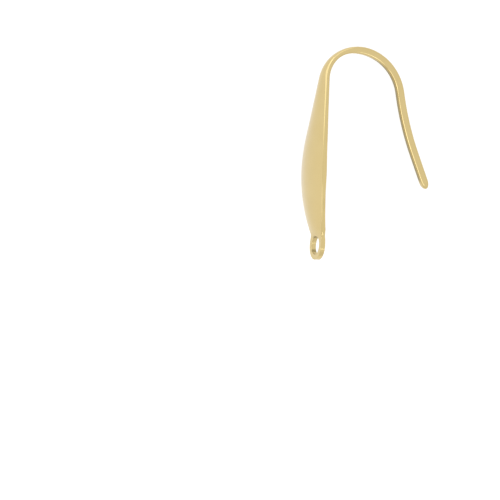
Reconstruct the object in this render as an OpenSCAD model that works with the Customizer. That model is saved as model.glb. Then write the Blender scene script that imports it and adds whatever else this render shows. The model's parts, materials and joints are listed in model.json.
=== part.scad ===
// Ear wire of the flat-front kind, bent from one length of metal: a domed front bar shaped like a
// long leaf, a closed eye below it, and a round-cornered wire that bends over the crown and flares
// away behind. It is drawn upright (x to the back, y across, z up, the middle of the eye at the
// origin) and then laid on its side, as it comes to rest on a flat surface.

/* [Hook wire] */
// Depth of the wire, in the plane of the hook
wire_depth = 0.8; // [0.6:0.02:1]
// Width of the wire, across the hook
wire_width = 0.76; // [0.5:0.02:1]
// Rounding of the wire's four corners
wire_edge_r = 0.22; // [0.1:0.02:0.24]
// Radius of the bend from the front bar to the crown, on the centre line
front_bend_r = 3.3; // [2.5:0.1:5]
// Radius of the crown behind that bend, on the centre line
crown_r = 5; // [3.5:0.1:7]
// Lean of the back leg where it leaves the crown, in degrees from upright
leg_lean = 8; // [0:1:15]
// Lean of the back leg at its flared end, in degrees from upright
flare_lean = 20.5; // [16:0.5:30]
// Radius of the flare, on the centre line
flare_r = 29; // [15:1:40]
// Straight length below the flare
leg_end = 3.7; // [2:0.1:6]
// Length over which the end of the wire is filed round
tip_length = 0.8; // [0.5:0.1:1.5]

/* [Front bar] */
// Greatest width of the bar
bar_width = 5.4; // [3:0.1:7]
// Thickness of the bar at its edges, and of the eye
bar_thick = 0.48; // [0.36:0.02:0.7]
// How much thicker the bar is along its middle
bar_dome = 0.4; // [0:0.02:0.5]
// Rounding of the edges of the bar and the eye
bar_edge_r = 0.12; // [0.04:0.01:0.17]
// Lean of the bar's lower end, in degrees from upright
lower_lean = 9.5; // [0:0.5:15]
// Lean of the bar's upper end, in degrees from upright
upper_lean = 8; // [0:0.5:12]
// Radius of the bow between the two ends
bow_r = 30; // [25:1:45]
// Straight length above the bow
bar_straight = 6.2; // [3:0.1:9]
// Length of the small set between the eye and the bow
neck_length = 0.6; // [0.5:0.1:1.5]

/* [Eye] */
// Diameter of the hole that takes a jump ring
eye_hole_d = 1.8; // [1.2:0.1:2.4]
// Metal left round the hole
eye_wall = 0.54; // [0.4:0.01:0.8]
// Lean of the eye to the front, in degrees from upright
eye_lean = 4; // [0:1:10]
// Length from the middle of the hole to the neck
eye_stem = 0.85; // [0.7:0.05:1.5]
// Size of the bevel at the hole's two rims
eye_lip = 0.05; // [0.02:0.01:0.12]

/* [Hidden] */

eye_r = eye_hole_d / 2 + eye_wall;

// The centre line, from the lowest point of the eye up the bar, over the crown and down the back
// leg: each stretch is a straight or an arc. A turn is counted in degrees towards the back.
function arc_length(r, turn) = r * PI * turn / 180;
STRETCHES = [
    // length, turn
    [eye_r + eye_stem, 0],
    [neck_length, -(eye_lean + lower_lean)],
    [arc_length(bow_r, lower_lean + upper_lean), lower_lean + upper_lean],
    [bar_straight, 0],
    [arc_length(front_bend_r, 90 - upper_lean), 90 - upper_lean],
    [arc_length(crown_r, 90 - leg_lean), 90 - leg_lean],
    [arc_length(flare_r, flare_lean - leg_lean), -(flare_lean - leg_lean)],
    [leg_end, 0],
];

// A place on the centre line is [x, z, heading], the heading in degrees from straight up
function go(place, distance, bend) =
    let (r = bend == 0 ? 0 : distance * 180 / (PI * bend), h = place[2], end = h + bend)
    bend == 0
        ? [place[0] + distance * sin(h), place[1] + distance * cos(h), h]
        : [place[0] + r * (cos(h) - cos(end)), place[1] + r * (sin(end) - sin(h)), end];
function stretch_place(k) =
    k == 0
        ? [-eye_r * sin(eye_lean), -eye_r * cos(eye_lean), eye_lean]
        : go(stretch_place(k - 1), STRETCHES[k - 1][0], STRETCHES[k - 1][1]);
function stretch_start(k) = k == 0 ? 0 : stretch_start(k - 1) + STRETCHES[k - 1][0];
PLACES = [for (k = [0:len(STRETCHES) - 1]) stretch_place(k)];
STARTS = [for (k = [0:len(STRETCHES)]) stretch_start(k)];
function place_at(s) =
    let (
        k = max([for (i = [0:len(STRETCHES) - 1]) if (s >= STARTS[i]) i]),
        share = (s - STARTS[k]) / STRETCHES[k][0]
    )
    go(PLACES[k], s - STARTS[k], STRETCHES[k][1] * share);

bar_start = STARTS[2];
bend_start = STARTS[4];
crown_start = STARTS[5];
leg_end_start = STARTS[7];
wire_end = STARTS[8];

// The outline and the dome of the front, from the middle of the eye to the crown
FRONT = [
    // share of the way, width as a share of bar_width, dome as a share of bar_dome
    [0.00, 2 * eye_r / bar_width, 0.0],
    [0.03, 0.51, 0.0],
    [0.06, 0.54, 0.25],
    [0.12, 0.72, 0.7],
    [0.22, 0.92, 0.9],
    [0.33, 1.00, 1.0],
    [0.46, 0.90, 0.9],
    [0.60, 0.66, 0.65],
    [0.74, 0.42, 0.4],
    [0.84, 0.25, 0.2],
    [1.00, wire_width / bar_width, 0.0],
];
function rise(rows, c, i) = (rows[i + 1][c] - rows[i][c]) / (rows[i + 1][0] - rows[i][0]);
function slope(rows, c, i) =
    i == 0 || i == len(rows) - 1 ? 0
    : let (before = rows[i][0] - rows[i - 1][0], after = rows[i + 1][0] - rows[i][0])
        (rise(rows, c, i - 1) * after + rise(rows, c, i) * before) / (before + after);
function curve(rows, c, at) =
    let (
        i = max([for (j = [0:len(rows) - 2]) if (at >= rows[j][0]) j]),
        gap = rows[i + 1][0] - rows[i][0],
        u = (at - rows[i][0]) / gap
    )
    rows[i][c] * (1 - u) * (1 - u) * (1 + 2 * u)
        + rows[i + 1][c] * u * u * (3 - 2 * u)
        + slope(rows, c, i) * gap * u * (1 - u) * (1 - u)
        - slope(rows, c, i + 1) * gap * u * u * (1 - u);
function ease(from, to, at) =
    let (u = max(0, min(1, (at - from) / (to - from))))
    u * u * (3 - 2 * u);

function front_share(s) = max(0, min(1, (s - eye_r) / (crown_start - eye_r)));
function width_at(s) = bar_width * curve(FRONT, 1, front_share(s));
function dome_at(s) = bar_dome * curve(FRONT, 2, front_share(s));
// The flat bar thickens into the wire over the second half of the front bend and a little more
thicken_from = (bend_start + crown_start) / 2;
thicken_to = crown_start + front_bend_r / 2;
function depth_at(s) = bar_thick + (wire_depth - bar_thick) * ease(thicken_from, thicken_to, s);
// The edges are as round as the wire's from the bend on, and end just short of a full round
round_from = bend_start - bar_straight / 2;
most_round = 0.47;
function edge_at(s) =
    let (edge = bar_edge_r + (wire_edge_r - bar_edge_r) * ease(round_from, bend_start, s))
    min(edge, depth_at(s) * most_round);
function tip_at(s) =
    let (u = max(0, (s - wire_end + tip_length) / tip_length))
    sqrt(1 - u * u);

// One section of the metal as [across, outwards] points: four rounded corners, and between the two
// front ones the dome. Below the middle of the eye the same section follows the eye's round end,
// where the corners shrink with the metal and always leave a little of the flat faces.
CORNER = [0, 30, 60, 90];
FACE = [0.6, 0.3, 0, -0.3, -0.6];
end_corner = 0.95;
function inset_half(s, inset) =
    s < eye_r ? sqrt(pow(eye_r - inset, 2) - pow(eye_r - s, 2)) : width_at(s) / 2 * tip_at(s) - inset;
function section(s) =
    let (
        tip = tip_at(s),
        half = width_at(s) / 2,
        edge = edge_at(s) * tip,
        squeeze = s < edge ? end_corner * s / edge : 1,
        side = [for (a = CORNER)
            [
                inset_half(s, edge * squeeze * (1 - cos(a))),
                depth_at(s) / 2 * tip - edge + edge * sin(acos(1 - squeeze * (1 - cos(a)))),
            ]],
        face = [for (f = FACE) [f * side[3][0], side[3][1]]],
        front = [
            each side,
            each face,
            for (i = [3:-1:0]) [-side[i][0], side[i][1]],
        ],
        back = [
            for (i = [0:3]) [-side[i][0], -side[i][1]],
            for (i = [3:-1:0]) [side[i][0], -side[i][1]],
        ]
    )
    [
        for (p = front) [p[0], p[1] + dome_at(s) * (1 - pow(p[0] / half, 2))],
        each back,
    ];
function ring(s) =
    let (p = place_at(s))
    [for (q = section(s)) [p[0] - q[1] * cos(p[2]), q[0], p[1] + q[1] * sin(p[2])]];

// Sections stand close together on the eye's round end, in the bends and at the tip
eye_angle = 7.5;
bend_angle = 5;
tip_angle = 10;
step_length = 0.45;
straight_steps = 4;
function spread(start, length, n) = [for (i = [0:n - 1]) start + length * i / n];
SECTIONS = [
    for (a = [eye_angle:eye_angle:90 - eye_angle]) eye_r * (1 - cos(a)),
    each spread(eye_r, eye_stem, straight_steps),
    for (k = [1:len(STRETCHES) - 2])
        let (n = ceil(max(STRETCHES[k][0] / step_length, abs(STRETCHES[k][1]) / bend_angle)))
        each spread(STARTS[k], STRETCHES[k][0], n),
    each spread(leg_end_start, leg_end - tip_length, straight_steps),
    for (a = [0:tip_angle:90 - tip_angle]) wire_end - tip_length * (1 - sin(a)),
];

RINGS = [for (s = SECTIONS) ring(s)];

// The middle of its mass: the sections weighted by area and spacing, less the hole at the origin
function ring_area(r) =
    norm([for (i = [1:len(r) - 2]) 1] * [for (i = [1:len(r) - 2]) cross(r[i] - r[0], r[i + 1] - r[0])]) / 2;
WEIGHTS = [for (i = [0:len(RINGS) - 1])
    ring_area(RINGS[i]) * (SECTIONS[min(i + 1, len(RINGS) - 1)] - SECTIONS[max(i - 1, 0)]) / 2];
MIDDLES = [for (r = RINGS) [for (p = r) 1 / len(r)] * r];
hole_volume = PI * pow(eye_hole_d / 2, 2) * bar_thick;
mass_middle = WEIGHTS * MIDDLES / (WEIGHTS * [for (w = WEIGHTS) 1] - hole_volume);

// At rest it leans on the bar's edge, at two neighbouring sections, and on the side of the wire: of
// all such planes that nothing passes, the one that lies nearest to the middle of its mass
function bar_edge(i) = let (r = RINGS[i]) r[len(r) - 1];
WIRE_SIDE = [for (i = [0:len(RINGS) - 1]) if (SECTIONS[i] > crown_start) each [RINGS[i][0], bar_edge(i)]];
function up_from(a, b) =
    let (
        slopes = [for (p = WIRE_SIDE) let (n = cross(b - a, p - a)) n / n[1]],
        least = min([for (n = slopes) n[0]])
    )
    [for (n = slopes) if (n[0] == least) -n / norm(n)][0];
RESTS = [for (i = [0:len(RINGS) - 2]) if (SECTIONS[i] > bar_start && SECTIONS[i + 1] < bend_start)
    let (up = up_from(bar_edge(i), bar_edge(i + 1)))
    [(mass_middle - bar_edge(i)) * up, up]];
up = [for (r = RESTS) if (r[0] == min([for (q = RESTS) q[0]])) r[1]][0];

// Axes at rest: its own upright along y, and front to back along x
along = ([0, 0, 1] - up * up[2]) / norm([0, 0, 1] - up * up[2]);
over = cross(along, up);
function reach(axis) = [for (r = RINGS, p = r) p * axis];
function middle(axis) = (min(reach(axis)) + max(reach(axis))) / 2;
module at_rest() {
    multmatrix([
        [over[0], over[1], over[2], -middle(over)],
        [along[0], along[1], along[2], -middle(along)],
        [up[0], up[1], up[2], -min(reach(up))],
        [0, 0, 0, 1],
    ])
    children();
}

module bent_metal() {
    n = len(RINGS[0]);
    last = len(RINGS) - 1;
    walls = [
        for (i = [0:last - 1], j = [0:n - 1])
            let (a = i * n + j, b = i * n + (j + 1) % n)
            each [[a, a + n, b + n], [a, b + n, b]],
    ];
    first_cap = [for (j = [0:n - 1]) j];
    last_cap = [for (j = [n - 1:-1:0]) last * n + j];
    polyhedron(points = [for (r = RINGS) each r], faces = [each walls, first_cap, last_cap]);
}

// The hole goes straight through the eye and opens with a small bevel at both rims
module eye_hole() {
    hole_r = eye_hole_d / 2;
    straight = bar_thick / 2 - eye_lip;
    past = bar_thick;
    profile = [
        [0, -past],
        [hole_r + past - straight, -past],
        [hole_r, -straight],
        [hole_r, straight],
        [hole_r + past - straight, past],
        [0, past],
    ];
    rotate([0, 90 + eye_lean, 0]) rotate_extrude($fn = 64) polygon(profile);
}

module ear_wire() {
    color("#dcc585")
    at_rest()
    difference() {
        bent_metal();
        eye_hole();
    }
}

ear_wire();
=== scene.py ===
import json
import math

import bmesh
import bpy
from mathutils import Matrix, Vector


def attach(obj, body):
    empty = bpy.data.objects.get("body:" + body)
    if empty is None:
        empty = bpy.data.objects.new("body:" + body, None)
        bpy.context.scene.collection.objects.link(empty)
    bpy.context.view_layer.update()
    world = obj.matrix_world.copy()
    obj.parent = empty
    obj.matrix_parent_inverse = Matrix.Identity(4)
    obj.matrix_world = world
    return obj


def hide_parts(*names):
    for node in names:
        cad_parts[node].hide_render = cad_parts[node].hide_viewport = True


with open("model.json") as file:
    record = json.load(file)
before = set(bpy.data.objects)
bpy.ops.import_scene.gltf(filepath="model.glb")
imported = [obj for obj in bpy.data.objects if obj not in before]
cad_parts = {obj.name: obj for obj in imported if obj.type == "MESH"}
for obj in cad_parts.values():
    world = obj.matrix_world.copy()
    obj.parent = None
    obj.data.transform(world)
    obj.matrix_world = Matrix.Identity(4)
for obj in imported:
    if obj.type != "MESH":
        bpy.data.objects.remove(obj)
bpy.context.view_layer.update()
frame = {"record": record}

# The ear wire, the only piece: one length of gold-filled wire. Its front end is rolled out flat,
# stamped to a long leaf with a domed face and pierced for the eye. The rest stays wire, with four
# rounded corners, and is bent over the crown. It is drawn upright in millimetres, then laid down.
mm = 0.001
wire_depth, wire_width, wire_edge = 0.8, 0.76, 0.22
bar_width, bar_thick, bar_dome, bar_edge = 5.4, 0.48, 0.4, 0.03
hole_radius, eye_radius, eye_rim = 0.9, 1.44, 0.05
# Leans are in degrees from upright
eye_lean, eye_stem, neck_length = 4, 0.85, 0.6
lower_lean, upper_lean, bow_radius, bar_straight = 9.5, 8, 30, 6.2
front_bend_radius, crown_radius, leg_lean = 3.3, 5, 8
flare_lean, flare_radius, leg_end, tip_length = 20.5, 29, 3.7, 0.8


def arc(radius, turn):
    """The length and the turn of a stretch that is bent to a radius."""
    return radius * math.radians(abs(turn)), turn


# The centre line from the lowest point of the eye to the tip: length, and turn towards the back
STRETCHES = [
    (eye_radius + eye_stem, 0),
    (neck_length, -(eye_lean + lower_lean)),
    arc(bow_radius, lower_lean + upper_lean),
    (bar_straight, 0),
    arc(front_bend_radius, 90 - upper_lean),
    arc(crown_radius, 90 - leg_lean),
    arc(flare_radius, leg_lean - flare_lean),
    (leg_end, 0),
]
starts = [sum(length for length, turn in STRETCHES[:k]) for k in range(len(STRETCHES) + 1)]
straight_start, bend_start, crown_start, leg_start, wire_end = (starts[k] for k in (3, 4, 5, 6, 8))


def walk(place, length, turn):
    """Where a stretch ends that starts at a place: how far back, how high, and its lean."""
    x, z, heading = place
    h, end = math.radians(heading), math.radians(heading + turn)
    if not turn:
        return x + length * math.sin(h), z + length * math.cos(h), heading
    r = length / (end - h)
    x += r * (math.cos(h) - math.cos(end))
    z += r * (math.sin(end) - math.sin(h))
    return x, z, heading + turn


lean = math.radians(eye_lean)
places = [(-eye_radius * math.sin(lean), -eye_radius * math.cos(lean), eye_lean)]
for length, turn in STRETCHES:
    places.append(walk(places[-1], length, turn))


def place_at(s):
    k = max(i for i in range(len(STRETCHES)) if s >= starts[i] or i == 0)
    length, turn = STRETCHES[k]
    return walk(places[k], s - starts[k], turn * (s - starts[k]) / length)


# The leaf's outline and dome, from the middle of the eye to the crown
FRONT = [
    # share of the way, share of bar_width, share of bar_dome
    (0.00, 2 * eye_radius / bar_width, 0.0),
    (0.03, 0.51, 0.0),
    (0.06, 0.54, 0.25),
    (0.12, 0.72, 0.7),
    (0.22, 0.92, 0.9),
    (0.33, 1.00, 1.0),
    (0.46, 0.90, 0.9),
    (0.60, 0.66, 0.7),
    (0.74, 0.42, 0.5),
    (0.84, 0.25, 0.36),
    (1.00, wire_width / bar_width, 0.0),
]
WIDTH_COLUMN, DOME_COLUMN = 1, 2


def slope(column, i):
    """How steeply a column of FRONT changes at one row, level at both ends."""
    if i in (0, len(FRONT) - 1):
        return 0
    before, here, after = FRONT[i - 1], FRONT[i], FRONT[i + 1]
    back, ahead = here[0] - before[0], after[0] - here[0]
    rise_back = (here[column] - before[column]) / back
    rise_ahead = (after[column] - here[column]) / ahead
    return (rise_back * ahead + rise_ahead * back) / (back + ahead)


def along_front(column, s):
    """A column of FRONT at s, on a smooth curve through its rows."""
    share = min(1, max(0, (s - eye_radius) / (crown_start - eye_radius)))
    i = max(j for j in range(len(FRONT) - 1) if share >= FRONT[j][0])
    gap = FRONT[i + 1][0] - FRONT[i][0]
    u = (share - FRONT[i][0]) / gap
    return (
        FRONT[i][column] * (1 - u) ** 2 * (1 + 2 * u)
        + FRONT[i + 1][column] * u * u * (3 - 2 * u)
        + slope(column, i) * gap * u * (1 - u) ** 2
        - slope(column, i + 1) * gap * u * u * (1 - u)
    )


def ease(start, end, value):
    """0 up to start, 1 from end on, and a smooth rise between."""
    u = min(1, max(0, (value - start) / (end - start)))
    return u * u * (3 - 2 * u)


def half_width(s):
    return bar_width * along_front(WIDTH_COLUMN, s) / 2


# The metal thickens from the leaf to the wire round the front bend
thicken_start = (bend_start + crown_start) / 2
thicken_end = crown_start + front_bend_radius / 2


def depth(s):
    return bar_thick + (wire_depth - bar_thick) * ease(thicken_start, thicken_end, s)


# Its edges are crisp on the leaf, and rounder at the neck and on the wire. The radius of a corner
# is never more than most_round of the depth.
most_round = 0.47
rounding_start = straight_start - 3
neck_middle, neck_reach, neck_edge = 2.5, 0.55, 0.22


def edge(s):
    at_neck = 1 - ease(0, neck_reach, abs(s - neck_middle))
    rounded = bar_edge + (wire_edge - bar_edge) * ease(rounding_start, bend_start, s)
    return min(rounded + (neck_edge - bar_edge) * at_neck, depth(s) * most_round)


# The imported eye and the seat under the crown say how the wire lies, and so where its own axes are.
# The axis across it points up from the floor.
mounts = {m["name"]: m for m in frame["record"]["mounts"]}
eye, seat = (Vector(mounts[name]["pos_m"]) for name in ("eye", "crown_seat"))
out = Vector(mounts["eye"]["axis"]).normalized()
across = (seat - eye).cross(out).normalized()
rise = out.cross(across)
to_front = out * math.cos(lean) - rise * math.sin(lean)
to_top = rise * math.cos(lean) + out * math.sin(lean)

# The leaf is rolled thinner where it is wide, all of it off the back: how much, and where along
# the wire this comes in and goes out
leaf_thinning, thinning_starts, thinning_ends = 0.08, (2.5, 4.4), (6.3, 9)


def bent(u, s, d):
    """A point of the flat metal, u across it, s along it and d out of it, where bending puts it."""
    if d < 0:
        d += leaf_thinning * ease(*thinning_starts, s) * (1 - ease(*thinning_ends, s))
    x, z, heading = place_at(s)
    h = math.radians(heading)
    domed = max(0, d) / (depth(s) / 2) * bar_dome * along_front(DOME_COLUMN, s)
    domed *= 1 - (u / half_width(s)) ** 2
    forward = -x + (d + domed) * math.cos(h)
    upward = z + (d + domed) * math.sin(h)
    return eye + (to_front * forward + across * u + to_top * upward) * mm


CORNER_STEPS, FACE_STEPS = 8, 20
quarter = [math.radians(90 * i / CORNER_STEPS) for i in range(CORNER_STEPS + 1)]
face_shares = [1 - 2 * i / FACE_STEPS for i in range(FACE_STEPS + 1)]
# A point close to each corner, at this share of the flat wall's half height, so that the smooth
# shading of the corner doesn't spread over the wall
corner_hold = 0.9


def outer_wall(size, corner):
    """Inset and depth from the front face round the two corners to the back face."""
    front = [(corner * (1 - math.sin(a)), size / 2 - corner * (1 - math.cos(a))) for a in quarter]
    front.append((0, (size / 2 - corner) * corner_hold))
    return front + [(inset, -d) for inset, d in reversed(front)]


# Painted shade: the inside of the hook and the hole's wall are painted darker and browner, and
# made rougher. On the hook this comes in along the first half of the crown, goes out before the tip
# and fades over a share of the corner.
shade_bend = (crown_start, (crown_start + leg_start) / 2)
shade_end = (wire_end - 1.2, wire_end - 0.6)
shade_corner = 0.06


# How much painted shade, with a rougher surface, a point on the inside of the hook gets
def inside_shade(s, d, size, corner):
    along = ease(*shade_bend, s) * (1 - ease(*shade_end, s))
    off_back = d + size / 2
    return along * (1 - ease(0, corner * shade_corner, off_back))


# Painted shade in the hole: a little all round its wall, and deeper patches at its upper and lower
# end on one side only. Angle from the top, half width in degrees and strength of each patch
HOLE_SHADE = 0.05
HOLE_SHADE_PATCHES = [(-25, 22, 0.9), (-128, 20, 0.9)]


# Painted shade on the hole's wall at an angle, on either side of the eye
def hole_shade(side, angle):
    turn = side * math.degrees(angle)
    return HOLE_SHADE + sum(shade_amount * (1 - ease(0, half, abs(turn - at))) for at, half, shade_amount in HOLE_SHADE_PATCHES)


def section(s):
    """The section at s with its dullness: right wall, back face, left wall and front face."""
    tip = math.sqrt(1 - max(0, (s - wire_end + tip_length) / tip_length) ** 2)
    half, corner, size = half_width(s) * tip, edge(s) * tip, depth(s) * tip
    wall = outer_wall(size, corner)
    flat = half - corner
    right = [(half - inset, d) for inset, d in wall]
    back = [(flat * share, -size / 2) for share in face_shares[1:-1]]
    left = [(inset - half, d) for inset, d in reversed(wall)]
    front = [(-flat * share, size / 2) for share in face_shares[1:-1]]
    around = right + back + left + front
    # The section at s with its painted shade: right wall, back face, left wall and front face.
    return [(bent(u, s, d), inside_shade(s, d, size, corner)) for u, d in around]


mesh = bmesh.new()
# An amount of painted shade for each point, a darker and browner colour, which also raises the
# roughness
shade_and_satin = mesh.verts.layers.float.new("shade_and_satin")


def skin(rows, closed):
    """Faces between each row of places, with their painted shade, and the next."""
    made = []
    for row in rows:
        made.append([mesh.verts.new(place) for place, shade_amount in row])
        for vertex, (place, shade_amount) in zip(made[-1], row):
            vertex[shade_and_satin] = shade_amount
    for row, after in zip(made, made[1:]):
        count = len(row)
        for i in range(count if closed else count - 1):
            j = (i + 1) % count
            mesh.faces.new((row[i], row[j], after[j], after[i]))
    return made


# The bar and the wire, from the collar just above the hole to the tip
COLLAR_GAP, STEP, TIP_STEPS = 0.35, 0.1, 12
collar = eye_radius + hole_radius + COLLAR_GAP
tip_start = wire_end - tip_length
count = round((tip_start - collar) / STEP)
rows = [section(collar + (tip_start - collar) * i / count) for i in range(count)]
for i in range(TIP_STEPS):
    rows.append(section(wire_end - tip_length * (1 - math.sin(math.radians(90 * i / TIP_STEPS)))))
tip_row = skin(rows, closed=True)[-1]
mesh.faces.new(tip_row)

# The eye: a ring round the hole that is open towards the collar, where the flat face goes on.
# Angles are from the top.
RING_STEPS, SIDE_STEPS, FLAT_STEPS = 48, 10, 4
rim = outer_wall(bar_thick, eye_rim)


def round_hole(radius, angle, d):
    """A point at a radius from the middle of the hole: across, along and out of the metal."""
    return radius * math.sin(angle), eye_radius + radius * math.cos(angle), d


def hole_wall(angle):
    """The rounded rims and the straight wall of the hole, front to back, at one angle."""
    return [round_hole(hole_radius + inset, angle, d) for inset, d in rim]


def flat_between(inner, outer):
    """The points of a face between its hole and its outer edge, both left out."""
    shares = [i / FLAT_STEPS for i in range(1, FLAT_STEPS)]
    return [tuple(a + (b - a) * share for a, b in zip(inner, outer)) for share in shares]


def ring_row(side, angle, others):
    """One row of the eye: the hole's wall, which has painted shade and is rougher, and points of its
    faces and edge.
    """
    wall = [(bent(side * u, s, d), hole_shade(side, angle)) for u, s, d in hole_wall(angle)]
    return wall + [(bent(side * u, s, d), 0) for u, s, d in others]


ring_columns = []
for i in range(SIDE_STEPS + 1):
    s = collar + (eye_radius - collar) * i / SIDE_STEPS
    angle = math.atan2(half_width(s), s - eye_radius)
    wall = [(half_width(s) - inset, s, d) for inset, d in outer_wall(bar_thick, edge(s))]
    ring_columns.append((angle, wall))
for i in range(1, RING_STEPS + 1):
    angle = math.radians(90 + 90 * i / RING_STEPS)
    wall = [round_hole(eye_radius - inset, angle, d) for inset, d in outer_wall(bar_thick, bar_edge)]
    ring_columns.append((angle, wall))
for side in (1, -1):
    rows = []
    for angle, wall in ring_columns:
        hole = hole_wall(angle)
        others = flat_between(hole[-1], wall[-1]) + wall[::-1] + flat_between(wall[0], hole[0])
        rows.append(ring_row(side, angle, others))
    skin(rows, closed=True)

# The faces between the hole's upper end and the collar
collar_angle = ring_columns[0][0]
collar_flat = half_width(collar) - edge(collar)
rows = []
for share in face_shares:
    angle = collar_angle * share
    hole = hole_wall(angle)
    front = (collar_flat * share, collar, bar_thick / 2)
    back = (collar_flat * share, collar, -bar_thick / 2)
    before = [(bent(*point), 0) for point in [front] + flat_between(front, hole[0])]
    rows.append(before + ring_row(1, angle, flat_between(hole[-1], back) + [back]))
skin(rows, closed=False)

weld_gap = 0.0005 * mm
bmesh.ops.remove_doubles(mesh, verts=mesh.verts, dist=weld_gap)
bmesh.ops.recalc_face_normals(mesh, faces=mesh.faces)
metal = bpy.data.meshes.new("ear_wire_metal")
mesh.to_mesh(metal)
mesh.free()
metal.shade_smooth()
ear_wire = bpy.data.objects.new("ear_wire_metal", metal)
bpy.context.scene.collection.objects.link(ear_wire)
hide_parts("ear_wire")
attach(ear_wire, "root")


def linear(hex_colour):
    """An sRGB hex colour as the linear RGBA that Blender takes."""
    shares = [int(hex_colour[i : i + 2], 16) / 255 for i in (1, 3, 5)]
    return [c / 12.92 if c <= 0.04045 else ((c + 0.055) / 1.055) ** 2.4 for c in shares] + [1]


def add(tree, kind, settings=None, links=None):
    """Adds a node, sets its properties and inputs by name, and links inputs to other sockets."""
    node = tree.nodes.new(kind)
    for name, value in (settings or {}).items():
        if name in node.inputs:
            node.inputs[name].default_value = value
        else:
            setattr(node, name, value)
    for name, socket in (links or {}).items():
        tree.links.new(socket, node.inputs[name])
    return node


# 14 carat gold-filled brass, rolled, stamped and tumble-polished: a bright pale gold with soft
# reflections. Inside the hook and in the hole it is a rougher satin, painted darker and browner
# there as shade. Tumbling leaves shallow dents about 2 mm wide, and marks finer than 0.01 mm,
# which are drawn 0.12 mm wide so that they show.
DENT_WIDTH, GRAIN_WIDTH = 2.2 * mm, 0.12 * mm
DENT_DEPTH, GRAIN_DEPTH = 0.02 * mm, 0.002 * mm
# The third colour is painted shade, mixed in inside the hook and in the hole
PALE_GOLD, DEEPER_GOLD, PAINTED_SHADE_GOLD = "#cfba85", "#c9b37b", "#97895f"
POLISHED_ROUGHNESS, SATIN_ROUGHNESS = (0.1, 0.16), 0.38
gold = bpy.data.materials.new("gold_filled_tumbled")
gold.use_nodes = True
tree = gold.node_tree
tree.nodes.clear()
where = add(tree, "ShaderNodeTexCoord").outputs["Object"]
dents = add(
    tree, "ShaderNodeTexNoise", {"Scale": 1 / DENT_WIDTH, "Detail": 2.0}, {"Vector": where}
)
grain = add(
    tree, "ShaderNodeTexNoise", {"Scale": 1 / GRAIN_WIDTH, "Detail": 3.0}, {"Vector": where}
)
# This attribute mixes in the painted shade colour and raises the roughness
shade_amount = add(tree, "ShaderNodeAttribute", {"attribute_name": "shade_and_satin"}).outputs["Fac"]
polished = add(
    tree,
    "ShaderNodeMixRGB",
    {"Color1": linear(PALE_GOLD), "Color2": linear(DEEPER_GOLD)},
    {"Fac": dents.outputs["Fac"]},
)
colour = add(
    tree,
    "ShaderNodeMixRGB",
    {"Color2": linear(PAINTED_SHADE_GOLD)},
    {"Fac": shade_amount, "Color1": polished.outputs["Color"]},
)
shine = add(
    tree,
    "ShaderNodeMapRange",
    {"To Min": POLISHED_ROUGHNESS[0], "To Max": POLISHED_ROUGHNESS[1]},
    {"Value": grain.outputs["Fac"]},
)
roughness = add(
    tree,
    "ShaderNodeMapRange",
    {"To Max": SATIN_ROUGHNESS},
    {"Value": shade_amount, "To Min": shine.outputs["Result"]},
)
soft_bump = add(
    tree,
    "ShaderNodeBump",
    {"Strength": 0.15, "Distance": DENT_DEPTH},
    {"Height": dents.outputs["Fac"]},
)
fine_bump = add(
    tree,
    "ShaderNodeBump",
    {"Strength": 0.1, "Distance": GRAIN_DEPTH},
    {"Height": grain.outputs["Fac"], "Normal": soft_bump.outputs["Normal"]},
)
surface = add(
    tree,
    "ShaderNodeBsdfPrincipled",
    {"Metallic": 1.0},
    {
        "Base Color": colour.outputs["Color"],
        "Roughness": roughness.outputs["Result"],
        "Normal": fine_bump.outputs["Normal"],
    },
)
add(tree, "ShaderNodeOutputMaterial", links={"Surface": surface.outputs["BSDF"]})
metal.materials.append(gold)

# The table under it: a cast sheet of matt white acrylic, 6 m square, which is lit from below so
# that it throws no hard shade. It is the floor of the picture and no part of the ear wire.
TABLE_HALF = 3
floor_mesh = bpy.data.meshes.new("floor")
corners = [(x * TABLE_HALF, y * TABLE_HALF, 0) for x, y in ((-1, -1), (1, -1), (1, 1), (-1, 1))]
floor_mesh.from_pydata(corners, [], [(0, 1, 2, 3)])
floor = bpy.data.objects.new("floor", floor_mesh)
bpy.context.scene.collection.objects.link(floor)
acrylic = bpy.data.materials.new("matt_white_acrylic")
acrylic.use_nodes = True
sheet = acrylic.node_tree.nodes["Principled BSDF"]
sheet.inputs["Base Color"].default_value = linear("#adadad")
sheet.inputs["Roughness"].default_value = 0.9
sheet.inputs["Specular IOR Level"].default_value = 0.1
sheet.inputs["Emission Color"].default_value = linear("#ffffff")
sheet.inputs["Emission Strength"].default_value = 0.67
floor_mesh.materials.append(acrylic)

# The light: a white tent all round, with seven soft panels of slightly cool light. Each stands
# where a face or an edge of the metal mirrors it towards the camera.
TENT_STRENGTH = 1.02
PANEL_DISTANCE, PANEL_COLOUR = 0.8, "#e9f1ff"
tent = bpy.data.worlds.new("tent")
bpy.context.scene.world = tent
tent.use_nodes = True
tent.node_tree.nodes["Background"].inputs["Color"].default_value = linear("#ffffff")
tent.node_tree.nodes["Background"].inputs["Strength"].default_value = TENT_STRENGTH


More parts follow.
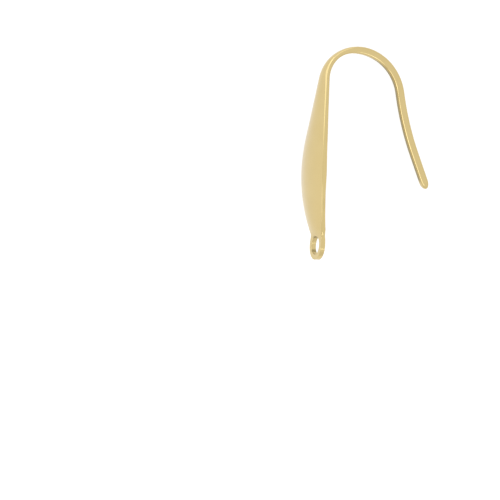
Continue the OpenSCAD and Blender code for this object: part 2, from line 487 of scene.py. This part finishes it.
def panel(name, turn, lift, wide, tall, power):
    """A panel that faces the ear wire, turned from the right and lifted off the table by degrees."""
    light = bpy.data.lights.new(name, "AREA")
    light.shape = "RECTANGLE"
    light.size, light.size_y = wide, tall
    light.energy = power
    light.color = linear(PANEL_COLOUR)[:3]
    turn, lift = math.radians(turn), math.radians(lift)
    level = math.cos(lift)
    towards = Vector((math.cos(turn) * level, math.sin(turn) * level, math.sin(lift)))
    lamp = bpy.data.objects.new(name, light)
    lamp.location = towards * PANEL_DISTANCE
    lamp.rotation_mode = "QUATERNION"
    lamp.rotation_quaternion = towards.to_track_quat("Z", "Y")
    bpy.context.scene.collection.objects.link(lamp)


panel("top_panel", 22, 54, 0.8, 0.8, 0.3)
panel("crown_side_panel", 126, 32, 0.7, 0.7, 1.2)
panel("eye_side_panel", 300, 58, 0.4, 0.2, 0.38)
panel("upper_eye_side_panel", 230, 66, 0.38, 0.26, 0.48)
panel("front_panel", 198, 48, 0.245, 0.27, 0.32)
panel("crown_panel", 88, 22, 0.6, 0.45, 0.5)
panel("low_eye_side_panel", 322, 36, 0.5, 0.3, 0.06)

# The camera, 67 degrees round from the front as in the photo, with a long lens. It is placed by
# where the middle of the hole lies in the picture.
scene = bpy.context.scene
scene.view_settings.view_transform = "Standard"
lens, sensor = 1200, 36
view_turn = math.radians(67)
frame_pixels, pixels_per_mm = 500, 10
eye_pixel = (317.45, 245.45)
clip_share = 100
to_camera = to_front * math.cos(view_turn) + across * math.sin(view_turn)
to_right = to_top.cross(to_camera)
aim = (
    eye
    + to_right * (frame_pixels / 2 - eye_pixel[0]) / pixels_per_mm * mm
    + to_top * (eye_pixel[1] - frame_pixels / 2) / pixels_per_mm * mm
)
lens_data = bpy.data.cameras.new("camera")
lens_data.lens = lens
lens_data.sensor_width = sensor
distance = frame_pixels / pixels_per_mm * mm * lens / sensor
lens_data.clip_start, lens_data.clip_end = distance / clip_share, distance * clip_share
camera = bpy.data.objects.new("camera", lens_data)
axes = Matrix((to_right, to_top, to_camera)).transposed().to_4x4()
camera.matrix_world = Matrix.Translation(aim + to_camera * distance) @ axes
scene.collection.objects.link(camera)
scene.camera = camera
